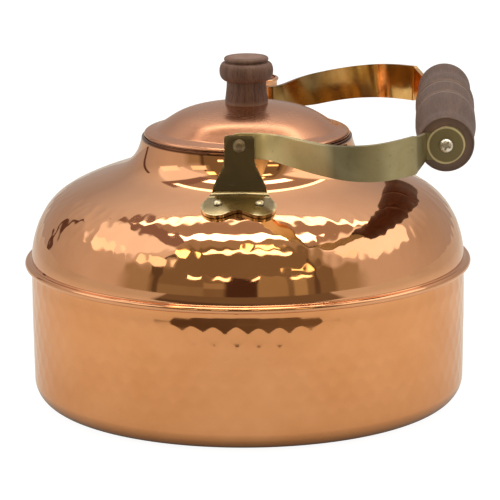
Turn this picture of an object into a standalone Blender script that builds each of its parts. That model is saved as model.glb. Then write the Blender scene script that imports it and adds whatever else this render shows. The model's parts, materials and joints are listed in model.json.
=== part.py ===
"""Copper kettle with a lift-off lid and a two-strap handle that folds over to either side.

Metres, +Z up. The origin is the centre of the flat base, on the table. +Y points to the spout.
The handle's pivot axis runs along Y, and the handle lies folded over +X.
Every physical piece is one named object in the collection copper_kettle.
"""

import math

import bmesh
import bpy
import numpy as np
from mathutils import Matrix, Vector
from mathutils.geometry import interpolate_bezier

MM = 0.001

# Sheet thicknesses and the clearance kept between neighbouring pieces
COPPER = 0.8 * MM
GAP = 0.3 * MM
EAR_SHEET = 1.6 * MM
STRAP_SHEET = 1.8 * MM
COLLAR_SHEET = 0.6 * MM

# Pan: a straight-sided drum with a rounded foot and a flange at its rim
PAN_RADIUS = 95.2 * MM
PAN_FOOT_RADIUS = 94.8 * MM
PAN_CORNER = 10.5 * MM
PAN_FLANGE_RADIUS = 97.0 * MM

# Seam: the dome's edge is folded round the pan's flange
SEAM_TOP = 63.5 * MM
SEAM_RADIUS = 98.3 * MM
SEAM_BEND = 1.5 * MM
SEAM_HEM_RADIUS = 96.0 * MM

# Dome: two curve spans (end, handle, handle, end) as (radius, height), from the neck down
NECK_SPAN = ((46.1, 116.7), (49.6, 100.3), (60.3, 104.2), (79.5, 93.4))
SHOULDER_SPAN = ((79.5, 93.4), (93.5, 85.6), (95.2, 68.1), (95.2, 63.5))
LIP_INNER_RADIUS = 43.9 * MM
LIP_TOP = 117.9 * MM

# Lid: crown span, then the gently falling brim
CROWN_SPAN = ((9.5, 131.4), (29.1, 129.1), (29.9, 127.5), (39.7, 120.9))
BRIM_POINT = (41.9 * MM, 120.3 * MM)
LID_RADIUS = 45.0 * MM
LID_EDGE = 118.4 * MM
BRIM_BEND = 1.4 * MM
SCREW_HOLE = 2.3 * MM

# Lid collar: the band under the lid that drops into the neck
COLLAR_RADIUS = 43.0 * MM
COLLAR_BOTTOM = 107.5 * MM

# Knob, as (radius, height) down its outer side
KNOB_BASE = 131.7 * MM
KNOB_OUTLINE = (
    (0.0, 152.3), (8.6, 152.0), (9.7, 151.3), (9.7, 150.3), (9.2, 149.9), (10.0, 149.6),
    (11.2, 147.8), (11.7, 145.2), (11.2, 142.9), (10.0, 141.1), (8.7, 140.1), (8.3, 139.5),
    (8.8, 136.0), (9.4, 132.6), (9.1, 131.7), (0.0, 131.7),
)
KNOB_SCREW_TOP = 143.0 * MM

# Handle
PIVOT_HEIGHT = 124.0 * MM
EAR_FACE = 59.8 * MM
STRAP_MID = 56.1 * MM
GRIP_REACH = 86.6 * MM
GRIP_RISE = 2.2 * MM
GRIP_HALF = 66.5 * MM
STRAP_END = GRIP_HALF + GAP + STRAP_SHEET / 2

# Ear: half-widths and heights of its upright, and its two-lobed foot
EAR_TOP = 128.3 * MM
EAR_HALF = 6.35 * MM
EAR_BEND = 103.6 * MM
EAR_BEND_HALF = 11.6 * MM
EAR_FLARE_START = 118.5 * MM
LOBE_RADIUS = 7.1 * MM
LOBE_SPREAD = 8.7 * MM
LOBE_REACH = 8.0 * MM
LOBE_DROP = 1.8 * MM

# Fasteners
PIVOT_SHANK = 2.0 * MM
PIVOT_HEAD = 2.9 * MM
PIVOT_HEAD_HEIGHT = 1.5 * MM
EAR_RIVET_SHANK = 1.3 * MM
EAR_RIVET_HEAD = 1.9 * MM
EAR_RIVET_HEAD_HEIGHT = 1.1 * MM
GRIP_BORE = 2.6 * MM
GRIP_ROD_RADIUS = 2.3 * MM
GRIP_SCREW_HEAD = 3.0 * MM

# Spout
SPOUT_PATH = ((78.0, 76.0), (94.0, 90.0), (109.0, 98.0), (112.0, 121.8))
SPOUT_HOLE = 12.0 * MM
SPOUT_WALL = 0.9 * MM

BODY_SEGMENTS = 40
LID_SEGMENTS = 32
SMALL_SEGMENTS = 18
RIVET_SEGMENTS = 10

KETTLE = bpy.data.collections.new("copper_kettle")
CUTTERS = bpy.data.collections.new("cutters")


# Scene and material helpers


def clear_scene():
    for obj in list(bpy.data.objects):
        bpy.data.objects.remove(obj)


def principled(name, color, roughness, metallic):
    material = bpy.data.materials.new(name)
    material.use_nodes = True
    shader = material.node_tree.nodes["Principled BSDF"]
    shader.inputs["Base Color"].default_value = (*color, 1.0)
    shader.inputs["Roughness"].default_value = roughness
    shader.inputs["Metallic"].default_value = metallic
    return material


def new_object(name, mesh, color, roughness=0.2, metallic=1.0):
    obj = bpy.data.objects.new(name, mesh)
    KETTLE.objects.link(obj)
    mesh.materials.append(principled(name, color, roughness, metallic))
    return obj


def copper(name, mesh):
    return new_object(name, mesh, (0.80, 0.42, 0.27), 0.12)


def brass(name, mesh):
    return new_object(name, mesh, (0.62, 0.50, 0.22), 0.2)


def steel(name, mesh):
    return new_object(name, mesh, (0.72, 0.70, 0.66), 0.25)


def wood(name, mesh):
    return new_object(name, mesh, (0.16, 0.075, 0.05), 0.45, 0.0)


def new_mesh(bm, name):
    mesh = bpy.data.meshes.new(name)
    bm.to_mesh(mesh)
    bm.free()
    mesh.shade_smooth()
    mesh.set_sharp_from_angle(angle=math.radians(35))
    return mesh


# Outlines, as lists of (radius, height)


def millimetres(points):
    return [(r * MM, z * MM) for r, z in points]


def span(controls, steps):
    ends = [Vector((r * MM, z * MM, 0.0)) for r, z in controls]
    return [(p.x, p.y) for p in interpolate_bezier(*ends, steps)]


def arc(centre, radius, start, end, steps):
    angles = [math.radians(start + (end - start) * i / steps) for i in range(steps + 1)]
    return [
        (centre[0] + radius * math.cos(a), centre[1] + radius * math.sin(a)) for a in angles
    ]


def dome_outline(steps=7):
    """The dome's outer side, from the lip of the neck down to the seam's shoulder."""
    bend = 0.9 * MM
    neck_radius = NECK_SPAN[0][0] * MM
    lip = arc((neck_radius - bend, LIP_TOP - bend), bend, 90, 0, 2)
    shoulder = span(SHOULDER_SPAN, steps)
    return [(LIP_INNER_RADIUS, LIP_TOP)] + lip + span(NECK_SPAN, steps) + shoulder[1:]


DOME_CURVE = np.array(dome_outline(40))


def dome_height(radius):
    """Height of the dome's outer side at a radius, between the neck and the seam."""
    return float(np.interp(radius, DOME_CURVE[4:, 0], DOME_CURVE[4:, 1]))


def dome_slope(radius):
    """The dome's fall outwards at a radius, as an angle below the horizontal."""
    step = 0.5 * MM
    return math.atan2(dome_height(radius - step) - dome_height(radius + step), 2 * step)


# Turned and bent shapes


def outline_mesh(name, outline, closed=False):
    count = len(outline)
    edges = [(i, i + 1) for i in range(count - 1)]
    if closed:
        edges.append((count - 1, 0))
    mesh = bpy.data.meshes.new(name)
    mesh.from_pydata([(r, 0.0, z) for r, z in outline], edges, [])
    return mesh


def turn(obj, segments):
    screw = obj.modifiers.new("turn", "SCREW")
    screw.axis = "Z"
    screw.steps = screw.render_steps = segments
    screw.use_merge_vertices = True
    screw.merge_threshold = 0.00001
    screw.use_smooth_shade = True
    return obj


def thicken(obj, thickness, offset=-1.0):
    solidify = obj.modifiers.new("sheet", "SOLIDIFY")
    solidify.thickness = thickness
    solidify.offset = offset
    solidify.use_even_offset = True
    return obj


def ease_edges(obj, width):
    bevel = obj.modifiers.new("eased edges", "BEVEL")
    bevel.width = width
    bevel.segments = 1
    bevel.limit_method = "ANGLE"
    bevel.angle_limit = math.radians(50)
    return obj


def cylinder_cutter(name, radius, depth, location, direction, vertices=16):
    bpy.ops.mesh.primitive_cylinder_add(vertices=vertices, radius=radius, depth=depth)
    cutter = bpy.context.object
    cutter.name = name
    cutter.location = location
    cutter.rotation_euler = Vector(direction).to_track_quat("Z", "Y").to_euler()
    return hide_cutter(cutter)


def hide_cutter(cutter):
    for owner in list(cutter.users_collection):
        owner.objects.unlink(cutter)
    CUTTERS.objects.link(cutter)
    cutter.hide_render = True
    cutter.display_type = "WIRE"
    return cutter


def cut(obj, cutter):
    boolean = obj.modifiers.new("cut " + cutter.name, "BOOLEAN")
    boolean.operation = "DIFFERENCE"
    boolean.solver = "EXACT"
    boolean.object = cutter


def stations(low, high, step):
    count = max(1, round((high - low) / step))
    return [low + (high - low) * i / count for i in range(1, count)]


def bent_sheet(name, outline, across, along, place):
    """A flat outline of (across, along) points, sliced at the given stations and bent by place()."""
    bm = bmesh.new()
    bm.faces.new([bm.verts.new((x, s, 0.0)) for x, s in outline])
    slices = [(Vector((x, 0, 0)), Vector((1, 0, 0))) for x in across]
    slices += [(Vector((0, s, 0)), Vector((0, 1, 0))) for s in along]
    for point, normal in slices:
        everything = bm.verts[:] + bm.edges[:] + bm.faces[:]
        bmesh.ops.bisect_plane(bm, geom=everything, dist=1e-7, plane_co=point, plane_no=normal)
    for vert in bm.verts:
        vert.co = place(vert.co.x, vert.co.y)
    return new_mesh(bm, name)


def smoothstep(value, low, high):
    t = min(1.0, max(0.0, (value - low) / (high - low)))
    return t * t * (3.0 - 2.0 * t)


# Body


def body_pan():
    outline = [(PAN_FLANGE_RADIUS, SEAM_TOP - 1.9 * MM), (PAN_RADIUS, SEAM_TOP - 1.9 * MM)]
    outline += [(PAN_RADIUS, 40.0 * MM)]
    corner = (PAN_FOOT_RADIUS - PAN_CORNER, PAN_CORNER)
    outline += arc(corner, PAN_CORNER, 0, -90, 5)
    outline += [(45.0 * MM, 0.0), (0.0, 0.0)]
    pan = copper("body_pan", outline_mesh("body_pan", outline))
    return thicken(turn(pan, BODY_SEGMENTS), COPPER)


def body_dome():
    fold = (SEAM_RADIUS - SEAM_BEND, SEAM_TOP - SEAM_BEND)
    outline = dome_outline() + arc(fold, SEAM_BEND, 90, -90, 3)
    outline.append((SEAM_HEM_RADIUS, SEAM_TOP - 2 * SEAM_BEND))
    dome = copper("body_dome", outline_mesh("body_dome", outline))
    return thicken(turn(dome, BODY_SEGMENTS), COPPER)


def dome_envelope():
    """The space the dome fills, grown by the clearance: it trims the spout's root."""
    outline = [(r + GAP, z + GAP) for r, z in dome_outline()]
    foot = SEAM_TOP - 12.0 * MM
    outline = [(0.0, outline[0][1])] + outline + [(outline[-1][0], foot), (0.0, foot)]
    envelope = bpy.data.objects.new("dome_envelope", outline_mesh("dome_envelope", outline))
    CUTTERS.objects.link(envelope)
    return turn(hide_cutter(envelope), BODY_SEGMENTS)


def spout_ring(share):
    """Centre, lean and half-widths of the spout's section at a share of its length."""
    ends = [Vector((0.0, y * MM, z * MM)) for y, z in SPOUT_PATH]
    a, b, c, d = ends
    t = share
    centre = (1 - t) ** 3 * a + 3 * t * (1 - t) ** 2 * b + 3 * t * t * (1 - t) * c + t**3 * d
    lean = math.radians(42 + 48 * smoothstep(t, 0.2, 1.0))
    half = (8.4 + 10.6 * (1 - t) ** 2.2) * MM
    depth = half * (1 + 0.22 * smoothstep(t, 0.4, 1.0))
    return centre, lean, half, depth


def ring_points(centre, lean, half, depth, segments):
    across = Vector((1, 0, 0))
    upright = Vector((0, -math.sin(lean), math.cos(lean)))
    turns = [2 * math.pi * i / segments for i in range(segments)]
    return [centre + across * half * math.cos(a) + upright * depth * math.sin(a) for a in turns]


def spout(envelope):
    segments = 20
    rings = [ring_points(*spout_ring(i / 7), segments) for i in range(8)]
    centre, lean, half, depth = spout_ring(1.0)
    for swell, lift in ((0.7, 0.5), (0.7, 1.3), (0.1, 1.7)):
        top = centre + Vector((0, 0, lift * MM))
        rings.append(ring_points(top, lean, half + swell * MM, depth + swell * MM, segments))
    bm = bmesh.new()
    rows = [[bm.verts.new(p) for p in ring] for ring in rings]
    for low, high in zip(rows, rows[1:]):
        for i in range(segments):
            j = (i + 1) % segments
            bm.faces.new((low[i], low[j], high[j], high[i]))
    bmesh.ops.recalc_face_normals(bm, faces=bm.faces)
    piece = copper("spout", new_mesh(bm, "spout"))
    thicken(piece, SPOUT_WALL)
    cut(piece, envelope)
    return piece


# Ears


def ear_bend_point():
    """Radius and height where the ear's mid-sheet turns from its upright into its foot."""
    return EAR_FACE - EAR_SHEET / 2, EAR_BEND


def ear_outline():
    """(across, along) points of the flat ear, along running down from its top edge."""
    upright = EAR_TOP - EAR_BEND
    flare = EAR_TOP - EAR_FLARE_START
    corner = 1.2 * MM
    right = arc((EAR_HALF - corner, corner), corner, -90, 0, 3)
    for i in range(6):
        along = flare + (upright - flare) * i / 5
        half = EAR_HALF + (EAR_BEND_HALF - EAR_HALF) * smoothstep(along, flare, upright)
        right.append((half, along))
    lobe = (LOBE_SPREAD, upright + LOBE_REACH + LOBE_DROP)
    right += arc(lobe, LOBE_RADIUS, -35, 118, 7)
    dip = (0.0, lobe[1] + 3.4 * MM)
    left = [(-x, s) for x, s in reversed(right)]
    return right + [dip] + left


def place_ear(x, along):
    """Bends the flat ear: its upright stands at the ear face, and its foot follows the dome."""
    upright = EAR_TOP - EAR_BEND
    radius, bend = ear_bend_point()
    if along <= upright:
        return Vector((x, -radius, EAR_TOP - along))
    reach = along - upright
    y = radius + reach * math.cos(dome_slope(radius + reach / 2))
    lift = (GAP + EAR_SHEET / 2) / math.cos(dome_slope(y))
    settle = 1.0 - smoothstep(reach, 0.0, 3.0 * MM)
    height = dome_height(math.hypot(x, y)) + lift
    return Vector((x, -y, height + settle * (bend - dome_height(math.hypot(x, radius)) - lift)))


def rivet_site(side_x):
    """A foot rivet's place on the front ear, on the dome's outer side, and its axis."""
    radius, _ = ear_bend_point()
    y = radius + LOBE_REACH * math.cos(dome_slope(radius + LOBE_REACH / 2))
    x = side_x * LOBE_SPREAD
    reach = math.hypot(x, y)
    slope = dome_slope(reach)
    axis = Vector((math.sin(slope) * x / reach, -math.sin(slope) * y / reach, math.cos(slope)))
    return Vector((x, -y, dome_height(reach))), axis


def half_turned(vector):
    return Vector((-vector.x, -vector.y, vector.z))


def ear(name, facing, dome):
    """An ear on the front (facing -1) or rear (+1) of the dome, with its rivet holes."""
    upright = EAR_TOP - EAR_BEND
    foot_end = upright + LOBE_REACH + LOBE_DROP + LOBE_RADIUS
    across = stations(-LOBE_SPREAD - LOBE_RADIUS, LOBE_SPREAD + LOBE_RADIUS, 4.5 * MM)
    along = [upright] + stations(upright, foot_end, 3.0 * MM)
    mesh = bent_sheet(name, ear_outline(), across, along, place_ear)
    piece = brass(name, mesh)
    piece.rotation_euler.z = 0.0 if facing < 0 else math.pi
    ease_edges(thicken(piece, EAR_SHEET, 0.0), 0.25 * MM)
    pivot = Vector((0.0, facing * EAR_FACE, PIVOT_HEIGHT))
    hole = PIVOT_SHANK + GAP
    cut(piece, cylinder_cutter(name + "_pivot_hole", hole, 6 * MM, pivot, (0, 1, 0)))
    for side_x in (-1, 1):
        site, axis = rivet_site(side_x)
        if facing > 0:
            site, axis = half_turned(site), half_turned(axis)
        tag = "right" if side_x > 0 else "left"
        hole = EAR_RIVET_SHANK + GAP
        drill = cylinder_cutter(f"{name}_{tag}_hole", hole, 12 * MM, site, axis, 12)
        cut(piece, drill)
        cut(dome, drill)
        rivet = ear_rivet(f"{name}_rivet_{tag}")
        rivet.location = site
        rivet.rotation_euler = axis.to_track_quat("Z", "Y").to_euler()
    return piece


# Rivets and screws, turned about their own Z axis


def domed_head(radius, height, base, steps=3):
    """A low dome's outer side, from its crown down to its rim at the base."""
    rise = [(radius * math.sin(a), height * math.cos(a)) for a in
            [math.pi / 2 * i / steps for i in range(steps + 1)]]
    return [(r, base + z) for r, z in rise]


def ear_rivet(name):
    """Origin on the dome's outer side, +Z outwards. The bucked end is inside the dome."""
    head = domed_head(EAR_RIVET_HEAD, EAR_RIVET_HEAD_HEIGHT, EAR_SHEET + 2 * GAP)
    tail = -COPPER - GAP
    outline = head + [
        (EAR_RIVET_SHANK, EAR_SHEET + 2 * GAP),
        (EAR_RIVET_SHANK, tail),
        (EAR_RIVET_HEAD, tail),
        (EAR_RIVET_HEAD, tail - 0.6 * MM),
        (0.0, tail - 0.9 * MM),
    ]
    return turn(steel(name, outline_mesh(name, outline)), RIVET_SEGMENTS)


def pivot_rivet(name, facing):
    """Through ear, washer and strap. Origin on the pivot axis at the ear's outer face."""
    inner = STRAP_MID - STRAP_SHEET / 2 - GAP - EAR_FACE
    outline = domed_head(PIVOT_HEAD, PIVOT_HEAD_HEIGHT, GAP) + [
        (PIVOT_SHANK, GAP),
        (PIVOT_SHANK, inner),
        (PIVOT_HEAD, inner),
        (PIVOT_HEAD, inner - 0.7 * MM),
        (0.0, inner - 1.1 * MM),
    ]
    piece = turn(steel(name, outline_mesh(name, outline)), SMALL_SEGMENTS)
    piece.location = (0.0, facing * EAR_FACE, PIVOT_HEIGHT)
    piece.rotation_euler.x = -facing * math.pi / 2
    return piece


def ring(name, bore, radius, thickness, maker):
    half = thickness / 2
    outline = [(bore, half), (radius, half), (radius, -half), (bore, -half)]
    return turn(maker(name, outline_mesh(name, outline, closed=True)), SMALL_SEGMENTS)


def pivot_washer(name, facing):
    between = (STRAP_MID + STRAP_SHEET / 2 + EAR_FACE - EAR_SHEET) / 2
    piece = ring(name, PIVOT_SHANK + GAP, 4.2 * MM, 0.6 * MM, brass)
    piece.location = (0.0, facing * between, PIVOT_HEIGHT)
    piece.rotation_euler.x = math.pi / 2
    return piece


# Handle


def strap_path():
    """The strap's centre line seen from above: (reach from the pivot axis, distance from XZ)."""
    start = [(-5.6 * MM, STRAP_MID), (6.5 * MM, STRAP_MID)]
    out = span(((6.5, 56.1), (11.5, 56.1), (15.3, 63.2), (22.0, 71.5)), 14)
    bulge = span(((22.0, 71.5), (30.3, 81.7), (40.0, 97.8), (54.0, 97.8)), 16)
    back = span(((54.0, 97.8), (62.0, 97.8), (68.2, 90.6), (72.4, 86.3)), 12)
    corner = span(((72.4, 86.3), (73.3, 85.4), (73.7, 84.6), (74.0, 83.4)), 6)
    inward = span(((74.0, 83.4), (79.2, 64.6), (76.0, 67.7), (80.6, 67.7)), 16)
    end = [(GRIP_REACH + 8.6 * MM, STRAP_END)]
    return start + out[1:] + bulge[1:] + back[1:] + corner[1:] + inward[1:] + end


STRAP_LINE = np.array(strap_path())
STRAP_RUN = np.concatenate(
    [[0.0], np.cumsum(np.hypot(*np.diff(STRAP_LINE, axis=0).T))]
)


def run_at_reach(reach):
    """Length along the strap where it first gets this far from the pivot axis."""
    return float(np.interp(reach, STRAP_LINE[:, 0], STRAP_RUN))


STRAP_PIVOT = run_at_reach(0.0)
STRAP_TURN = run_at_reach(73.4 * MM)
STRAP_DISC = run_at_reach(GRIP_REACH)
STRAP_NECK = STRAP_DISC - 6.6 * MM
STRAP_NARROW = 5.45 * MM
STRAP_BROAD = 8.0 * MM
STRAP_NECK_HALF = 5.6 * MM
STRAP_DISC_RADIUS = 7.9 * MM
STRAP_SAG = 0.35 * MM


def strap_half_width(run):
    reach = float(np.interp(run, STRAP_RUN, STRAP_LINE[:, 0]))
    leaving = smoothstep(reach, 11 * MM, 28 * MM)
    arriving = smoothstep(reach, 24 * MM, 74 * MM)
    return STRAP_NARROW + (STRAP_BROAD - STRAP_NARROW) * (0.65 * leaving + 0.35 * arriving)


def strap_outline():
    """(across, along) points of the flat strap: round end, broad band, neck and end disc."""
    right = arc((0.0, STRAP_PIVOT), STRAP_NARROW, -90, 0, 6)
    right += [(strap_half_width(s), s) for s in stations(STRAP_PIVOT, STRAP_TURN, 9 * MM)]
    right += [(strap_half_width(STRAP_TURN), STRAP_TURN)]
    for i in range(1, 5):
        share = i / 4
        taper = STRAP_BROAD + (STRAP_NECK_HALF - STRAP_BROAD) * smoothstep(share, -0.4, 1.0)
        right.append((taper, STRAP_TURN + (STRAP_NECK - STRAP_TURN) * share))
    right += arc((0.0, STRAP_DISC), STRAP_DISC_RADIUS, -43, 90, 6)
    left = [(-x, s) for x, s in reversed(right[1:-1])]
    return right + left


def strap_lean(reach):
    """The band's upper edge leans outwards where it leaves the ear, and stands up at the grip."""
    leaving = smoothstep(reach, 10 * MM, 27 * MM)
    arriving = smoothstep(reach, 32 * MM, 70 * MM)
    return math.radians(17) * leaving * (1.0 - arriving)


def place_strap(facing):
    def place(x, run):
        reach = float(np.interp(run, STRAP_RUN, STRAP_LINE[:, 0]))
        away = float(np.interp(run, STRAP_RUN, STRAP_LINE[:, 1]))
        ahead = np.interp(run + 0.3 * MM, STRAP_RUN, STRAP_LINE[:, 0]) - reach
        aside = np.interp(run + 0.3 * MM, STRAP_RUN, STRAP_LINE[:, 1]) - away
        length = math.hypot(ahead, aside) or 1.0
        outward = Vector((-aside / length, ahead / length, 0.0))
        lean = strap_lean(reach)
        width = Vector((0, 0, math.cos(lean))) + outward * math.sin(lean)
        share = max(0.0, reach / GRIP_REACH)
        rise = GRIP_RISE * share**3 - STRAP_SAG * math.sin(math.pi * min(1.0, share)) ** 2
        point = Vector((reach, away, PIVOT_HEIGHT + rise)) + width * x
        return Vector((point.x, facing * point.y, point.z))

    return place


def strap(name, facing, pivot):
    along = [STRAP_PIVOT + 6.5 * MM]
    along += stations(STRAP_PIVOT + 6.5 * MM, STRAP_TURN - 1.6 * MM, 5.5 * MM)
    along += [STRAP_TURN - 1.6 * MM] + stations(STRAP_TURN - 1.6 * MM, STRAP_NECK, 2.2 * MM)
    along += [STRAP_NECK + 0.8 * MM]
    mesh = bent_sheet(name, strap_outline(), (-4.0 * MM, 4.0 * MM), along, place_strap(facing))
    piece = brass(name, mesh)
    ease_edges(thicken(piece, STRAP_SHEET, 0.0), 0.3 * MM)
    ride(piece, pivot)
    pin = Vector((0.0, facing * STRAP_MID, PIVOT_HEIGHT))
    hole = PIVOT_SHANK + GAP
    cut(piece, cylinder_cutter(name + "_pivot_hole", hole, 6 * MM, pin, (0, 1, 0)))
    eye = Vector((GRIP_REACH, facing * STRAP_END, PIVOT_HEIGHT + GRIP_RISE))
    cut(piece, cylinder_cutter(name + "_screw_hole", 2.1 * MM, 6 * MM, eye, (0, 1, 0)))
    return piece


def grip_outline():
    """The turned grip with its through bore, about its own axis: a closed (radius, height) loop."""
    half = [
        (10.8, 66.5), (11.7, 65.5), (11.75, 60.0), (11.4, 51.0), (11.5, 45.0),
        (12.4, 35.0), (12.9, 25.0), (12.95, 10.6), (12.4, 9.9), (12.95, 9.2),
    ]
    upper = millimetres(half)
    lower = [(r, -z) for r, z in reversed(upper)]
    return upper + lower + [(GRIP_BORE, -GRIP_HALF), (GRIP_BORE, GRIP_HALF)]


def grip_place(piece, offset=0.0):
    piece.location = (GRIP_REACH, offset, PIVOT_HEIGHT + GRIP_RISE)
    piece.rotation_euler.x = -math.pi / 2
    return piece


def grip():
    piece = wood("grip", outline_mesh("grip", grip_outline(), closed=True))
    return grip_place(turn(piece, SMALL_SEGMENTS))


def grip_rod():
    """The tapped tube inside the grip that the two end screws draw up against."""
    half = GRIP_HALF - 1.0 * MM
    bore = 1.75 * MM
    outline = [(bore, half), (GRIP_ROD_RADIUS, half), (GRIP_ROD_RADIUS, -half), (bore, -half)]
    piece = steel("grip_rod", outline_mesh("grip_rod", outline, closed=True))
    return grip_place(turn(piece, SMALL_SEGMENTS))


def grip_screw(name, facing):
    """Domed head with a cross recess, and a shank that runs into the grip's rod."""
    shank = 1.45 * MM
    outline = domed_head(GRIP_SCREW_HEAD, 1.9 * MM, 0.0, 4)
    outline += [(shank, 0.0), (shank, -14.0 * MM), (0.0, -14.6 * MM)]
    piece = turn(steel(name, outline_mesh(name, outline)), SMALL_SEGMENTS)
    seat = facing * (STRAP_END + STRAP_SHEET / 2 + GAP)
    piece.location = (GRIP_REACH, seat, PIVOT_HEIGHT + GRIP_RISE)
    piece.rotation_euler.x = -facing * math.pi / 2
    cut(piece, cross_recess(name, seat + facing * 1.9 * MM))
    return piece


def cross_recess(name, depth_at):
    """A cross of two crossed bars, joined into one cutter."""
    bars = []
    for i, size in enumerate(((3.9, 2.6, 1.0), (1.0, 2.6, 3.9))):
        bpy.ops.mesh.primitive_cube_add(size=1.0)
        bar = bpy.context.object
        bar.name = f"{name}_recess_{i}"
        bar.data.transform(Matrix.Diagonal((*[s * MM for s in size], 1.0)))
        bar.location = (GRIP_REACH, depth_at, PIVOT_HEIGHT + GRIP_RISE)
        bar.rotation_euler.y = math.radians(20)
        bars.append(hide_cutter(bar))
    join = bars[0].modifiers.new("cross", "BOOLEAN")
    join.operation = "UNION"
    join.solver = "EXACT"
    join.object = bars[1]
    return bars[0]


# Lid


def lid():
    outline = [(SCREW_HOLE, CROWN_SPAN[0][1] * MM)] + span(CROWN_SPAN, 7)
    outline.append(BRIM_POINT)
    outline += arc((LID_RADIUS - BRIM_BEND, LID_EDGE), BRIM_BEND, 80, 0, 3)
    piece = copper("lid", outline_mesh("lid", outline))
    return thicken(turn(piece, LID_SEGMENTS), COPPER)


def lid_collar():
    outline = [(39.5 * MM, 119.4 * MM), (42.0 * MM, 118.9 * MM), (COLLAR_RADIUS, 118.1 * MM)]
    outline += [(COLLAR_RADIUS, COLLAR_BOTTOM + 1.0 * MM)]
    outline += [(COLLAR_RADIUS - 0.4 * MM, COLLAR_BOTTOM)]
    piece = copper("lid_collar", outline_mesh("lid_collar", outline))
    return thicken(turn(piece, LID_SEGMENTS), COLLAR_SHEET)


def lid_knob():
    """Wooden knob with the blind hole its screw runs up into."""
    hole = 2.0 * MM
    outline = millimetres(KNOB_OUTLINE[:-1])
    outline += [(hole, KNOB_BASE), (hole, KNOB_SCREW_TOP + GAP), (0.0, KNOB_SCREW_TOP + 2 * GAP)]
    return turn(wood("lid_knob", outline_mesh("lid_knob", outline)), SMALL_SEGMENTS)


def knob_washer():
    under_lid = CROWN_SPAN[0][1] * MM - COPPER
    piece = ring("knob_washer", SCREW_HOLE, 5.0 * MM, 0.7 * MM, brass)
    piece.location.z = under_lid - GAP - 0.35 * MM
    return piece


def knob_screw():
    """Slotless round-head screw under the lid, up through washer and lid into the knob."""
    head_top = CROWN_SPAN[0][1] * MM - COPPER - 2 * GAP - 0.7 * MM
    shank = 1.7 * MM
    outline = [(0.0, KNOB_SCREW_TOP), (shank, KNOB_SCREW_TOP - 1.2 * MM), (shank, head_top)]
    outline += [(3.6 * MM, head_top), (3.3 * MM, head_top - 1.3 * MM)]
    outline += [(1.8 * MM, head_top - 2.1 * MM), (0.0, head_top - 2.3 * MM)]
    return turn(steel("knob_screw", outline_mesh("knob_screw", outline)), SMALL_SEGMENTS)


# Assembly


def joint_empty(name, location):
    empty = bpy.data.objects.new(name, None)
    empty.location = location
    KETTLE.objects.link(empty)
    return empty


def ride(piece, empty):
    """Parents a piece to its joint's empty, and leaves it where it is."""
    piece.parent = empty
    piece.matrix_parent_inverse = Matrix.Translation(-empty.location)
    return piece


def main():
    clear_scene()
    bpy.context.scene.collection.children.link(KETTLE)
    bpy.context.scene.collection.children.link(CUTTERS)
    body_pan()
    dome = body_dome()
    spout(dome_envelope())
    root = Vector((0.0, SPOUT_PATH[0][0] * MM, SPOUT_PATH[0][1] * MM))
    way = Vector((0.0, 1.0, 0.9))
    cut(dome, cylinder_cutter("spout_hole", SPOUT_HOLE, 60 * MM, root, way, 24))
    swing = joint_empty("handle_pivot", (0.0, 0.0, PIVOT_HEIGHT))
    for end, facing in (("front", -1), ("rear", 1)):
        ear(end + "_ear", facing, dome)
        pivot_rivet(end + "_pivot_rivet", facing)
        pivot_washer(end + "_pivot_washer", facing)
        strap(end + "_strap", facing, swing)
        ride(grip_screw(end + "_grip_screw", facing), swing)
    ride(grip(), swing)
    ride(grip_rod(), swing)
    lift = joint_empty("lid_lift", (0.0, 0.0, LID_EDGE))
    for piece in (lid(), lid_collar(), lid_knob(), knob_washer(), knob_screw()):
        ride(piece, lift)


main()
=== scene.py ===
import json
import math

import bmesh
import bpy
import numpy as np
from mathutils import Matrix, Vector
from mathutils.geometry import interpolate_bezier


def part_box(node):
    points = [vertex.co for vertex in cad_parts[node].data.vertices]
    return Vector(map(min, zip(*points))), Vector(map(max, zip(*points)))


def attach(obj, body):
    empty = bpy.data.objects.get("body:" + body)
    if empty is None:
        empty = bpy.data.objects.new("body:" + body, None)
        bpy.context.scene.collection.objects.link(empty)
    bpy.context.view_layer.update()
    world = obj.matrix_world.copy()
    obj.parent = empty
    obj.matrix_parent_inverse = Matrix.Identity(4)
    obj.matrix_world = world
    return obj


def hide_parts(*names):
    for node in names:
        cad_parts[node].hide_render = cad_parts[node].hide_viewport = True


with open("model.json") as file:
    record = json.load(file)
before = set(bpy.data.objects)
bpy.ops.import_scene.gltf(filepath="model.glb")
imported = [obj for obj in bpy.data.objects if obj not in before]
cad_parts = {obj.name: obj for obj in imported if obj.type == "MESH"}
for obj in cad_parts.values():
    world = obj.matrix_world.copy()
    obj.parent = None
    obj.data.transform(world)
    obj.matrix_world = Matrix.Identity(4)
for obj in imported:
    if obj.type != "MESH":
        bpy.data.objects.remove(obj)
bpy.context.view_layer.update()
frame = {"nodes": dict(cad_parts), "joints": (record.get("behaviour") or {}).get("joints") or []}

MM = 0.001

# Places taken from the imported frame
PAN_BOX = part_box("body_pan")
DOME_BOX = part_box("body_dome")
LID_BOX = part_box("lid")
KNOB_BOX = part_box("lid_knob")
COLLAR_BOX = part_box("lid_collar")
GRIP_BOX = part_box("grip")
EAR_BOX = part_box("front_ear")
PIVOT_HEIGHT = next(j for j in frame["joints"] if j["name"] == "handle_swing")["pos_m"][2]

# Sheet thicknesses and the clearance between neighbouring pieces
COPPER = 0.8 * MM
GAP = 0.3 * MM
EAR_SHEET = 1.6 * MM
STRAP_SHEET = 1.8 * MM
SPOUT_WALL = 0.9 * MM

# Pan: a drum that draws in slightly to its rounded foot, with a flange at its rim
PAN_FLANGE_RADIUS = PAN_BOX[1].x
PAN_RADIUS = PAN_FLANGE_RADIUS - 1.8 * MM
PAN_FOOT_RADIUS = PAN_FLANGE_RADIUS - 2.2 * MM
PAN_CORNER = 10.5 * MM
PAN_TAPER_TOP = 40 * MM

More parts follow.
